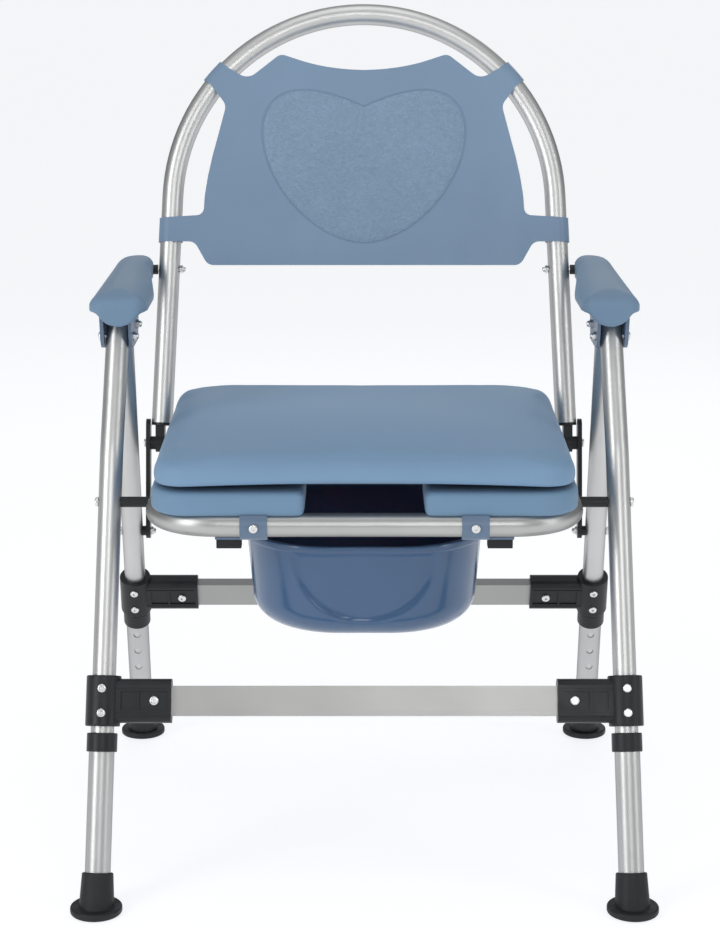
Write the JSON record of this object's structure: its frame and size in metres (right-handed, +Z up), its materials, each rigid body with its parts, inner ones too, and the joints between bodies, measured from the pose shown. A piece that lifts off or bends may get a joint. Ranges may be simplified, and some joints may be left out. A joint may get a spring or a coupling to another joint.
{
  "type": "commode chair",
  "caption": "Folding bedside commode chair: tube frame with telescopic legs, padded lid and seat ring, sliding pail, padded armrests and a hoop back with a moulded sheet.",
  "frame": {"origin": "on the floor at the centre of the bounding box", "axes": "+Z up, the sitter faces -Y, +X is the sitter's left"},
  "size_m": [0.6246, 0.5997, 0.9219],
  "materials": {
    "tube": "satin anodised",
    "lower_tube": "satin anodised",
    "bar": "satin anodised",
    "black_plastic": "moulded, satin",
    "rubber": "moulded rubber",
    "screws": "zinc-plated steel",
    "spring": "spring steel",
    "button": "plated",
    "pad_blue": "soft moulded foam with a satin skin",
    "base_blue": "moulded plastic",
    "sheet_blue": "moulded plastic, leather grain",
    "pail_blue": "glossy plastic"
  },
  "bodies": {
    "front_frame": {"front_leg_left": "tube", "front_leg_right": "tube", "connector_front_left": "black_plastic", "connector_front_right": "black_plastic", "crossbar_front": "bar", "front_frame_fasteners": "screws", "seat_pivot_spacers": "black_plastic", "leg_plugs_front": "black_plastic", "button_springs_front": "spring"},
    "rear_frame": {"rear_leg_left": "tube", "rear_leg_right": "tube", "connector_rear_left": "black_plastic", "connector_rear_right": "black_plastic", "crossbar_rear": "bar", "rear_frame_fasteners": "screws", "link_spacers": "black_plastic", "leg_plugs_rear": "black_plastic", "button_springs_rear": "spring"},
    "lower_leg_front_left_body": {"lower_leg_front_left": "lower_tube", "leg_collar_front_left": "black_plastic", "foot_front_left": "rubber"},
    "button_front_left": {"spring_button_front_left": "button"},
    "lower_leg_front_right_body": {"lower_leg_front_right": "lower_tube", "leg_collar_front_right": "black_plastic", "foot_front_right": "rubber"},
    "button_front_right": {"spring_button_front_right": "button"},
    "lower_leg_rear_left_body": {"lower_leg_rear_left": "lower_tube", "leg_collar_rear_left": "black_plastic", "foot_rear_left": "rubber"},
    "button_rear_left": {"spring_button_rear_left": "button"},
    "lower_leg_rear_right_body": {"lower_leg_rear_right": "lower_tube", "leg_collar_rear_right": "black_plastic", "foot_rear_right": "rubber"},
    "button_rear_right": {"spring_button_rear_right": "button"},
    "seat": {"seat_frame": "tube", "seat_tube_plugs": "black_plastic", "seat_fasteners": "screws", "seat_ring_base": "base_blue", "seat_ring_pad": "pad_blue", "lid_hinge_lugs": "base_blue", "pail_rail_left": "pail_blue", "pail_rail_right": "pail_blue", "rail_stops": "black_plastic"},
    "lid": {"lid_base": "base_blue", "lid_pad": "pad_blue"},
    "pail_body": {"pail": "pail_blue"},
    "armrests": {"armrest_bracket_left": "bar", "armrest_bracket_right": "bar", "armrest_pad_left": "pad_blue", "armrest_pad_right": "pad_blue", "armrest_bolts": "screws", "hoop_pivot_spacers": "black_plastic"},
    "back": {"back_hoop": "tube", "hoop_end_left": "black_plastic", "hoop_end_right": "black_plastic", "backrest_sheet": "sheet_blue"},
    "links": {"fold_link_left": "bar", "fold_link_right": "bar", "link_rivets": "screws"}
  },
  "joints": [
    {"name": "fold", "type": "hinge", "parent": "front_frame", "child": "seat", "pos_m": [0, -0.11636, 0.407], "axis": [-1, 0, 0], "range_deg": [0, 60]},
    {"name": "armrest_fold", "type": "hinge", "parent": "front_frame", "child": "armrests", "pos_m": [0, -0.03836, 0.575], "axis": [-1, 0, 0], "range_deg": [0, 64.6]},
    {"name": "rear_frame_fold", "type": "hinge", "parent": "armrests", "child": "rear_frame", "pos_m": [0, -0.00036, 0.582], "axis": [-1, 0, 0], "range_deg": [-31.6, 0]},
    {"name": "back_fold", "type": "hinge", "parent": "armrests", "child": "back", "pos_m": [0, 0.20764, 0.612], "axis": [-1, 0, 0], "range_deg": [-57.6, 0]},
    {"name": "link_fold", "type": "hinge", "parent": "rear_frame", "child": "links", "pos_m": [0, 0.12724, 0.309], "axis": [-1, 0, 0], "range_deg": [0, 84.3]},
    {"name": "lid_hinge", "type": "hinge", "parent": "seat", "child": "lid", "pos_m": [0, 0.16164, 0.449], "axis": [1, 0, 0], "range_deg": [-88, 0]},
    {"name": "pail_slide", "type": "slide", "parent": "seat", "child": "pail_body", "axis": [0, -1, 0], "range_m": [-0.3, 0]},
    {"name": "leg_height_front_left", "type": "slide", "parent": "front_frame", "child": "lower_leg_front_left_body", "axis": [0.0185, -0.3573, -0.9338], "range_m": [0, 0.108], "deforming": ["spring_button_front_left"]},
    {"name": "button_press_front_left", "type": "slide", "parent": "front_frame", "child": "button_front_left", "axis": [0, -0.934, 0.3573], "range_m": [0, 0.004], "stiffness_N_per_m": 400, "deforming": ["button_springs_front"]},
    {"name": "leg_height_front_right", "type": "slide", "parent": "front_frame", "child": "lower_leg_front_right_body", "axis": [-0.0185, -0.3573, -0.9338], "range_m": [0, 0.108], "deforming": ["spring_button_front_right"]},
    {"name": "button_press_front_right", "type": "slide", "parent": "front_frame", "child": "button_front_right", "axis": [0, -0.934, 0.3573], "range_m": [0, 0.004], "stiffness_N_per_m": 400, "deforming": ["button_springs_front"]},
    {"name": "leg_height_rear_left", "type": "slide", "parent": "rear_frame", "child": "lower_leg_rear_left_body", "axis": [0.0223, 0.4233, -0.9057], "range_m": [0, 0.108], "deforming": ["spring_button_rear_left"]},
    {"name": "button_press_rear_left", "type": "slide", "parent": "rear_frame", "child": "button_rear_left", "axis": [0, 0.9059, 0.4234], "range_m": [0, 0.004], "stiffness_N_per_m": 400, "deforming": ["button_springs_rear"]},
    {"name": "leg_height_rear_right", "type": "slide", "parent": "rear_frame", "child": "lower_leg_rear_right_body", "axis": [-0.0223, 0.4233, -0.9057], "range_m": [0, 0.108], "deforming": ["spring_button_rear_right"]},
    {"name": "button_press_rear_right", "type": "slide", "parent": "rear_frame", "child": "button_rear_right", "axis": [0, 0.9059, 0.4234], "range_m": [0, 0.004], "stiffness_N_per_m": 400, "deforming": ["button_springs_rear"]}
  ],
  "couplings": [
    {"joint": "armrest_fold", "follows": "fold", "ratio": 1.0757},
    {"joint": "rear_frame_fold", "follows": "fold", "ratio": -0.5253},
    {"joint": "back_fold", "follows": "fold", "ratio": -0.9585},
    {"joint": "link_fold", "follows": "fold", "ratio": 1.4031}
  ]
}
